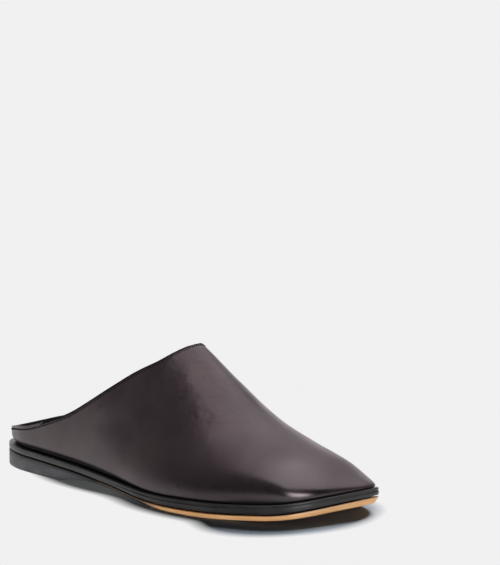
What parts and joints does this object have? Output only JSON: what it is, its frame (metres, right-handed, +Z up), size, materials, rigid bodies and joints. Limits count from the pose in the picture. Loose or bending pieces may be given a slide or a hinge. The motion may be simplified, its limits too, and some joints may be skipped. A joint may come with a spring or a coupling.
{
  "type": "mule shoe",
  "caption": "Low-heeled backless leather slip-on shoe for the right foot, with a closed squared toe and a high throat.",
  "frame": {"origin": "on the floor, under the middle of the heel's flat", "axes": "+X from heel to toe, +Y to the big-toe side, +Z up"},
  "size_m": [0.2539, 0.0875, 0.0814],
  "materials": {
    "upper_leather": "satin smooth calf",
    "sock_lining": "matt lining leather",
    "welt": "edge-inked, satin",
    "sole_leather": "natural burnished edge",
    "heel_stack": "edge-inked, satin"
  },
  "bodies": {
    "root": {"upper": "upper_leather", "insole": "sock_lining", "midsole": "welt", "outsole": "sole_leather", "heel": "heel_stack"}
  },
  "joints": []
}
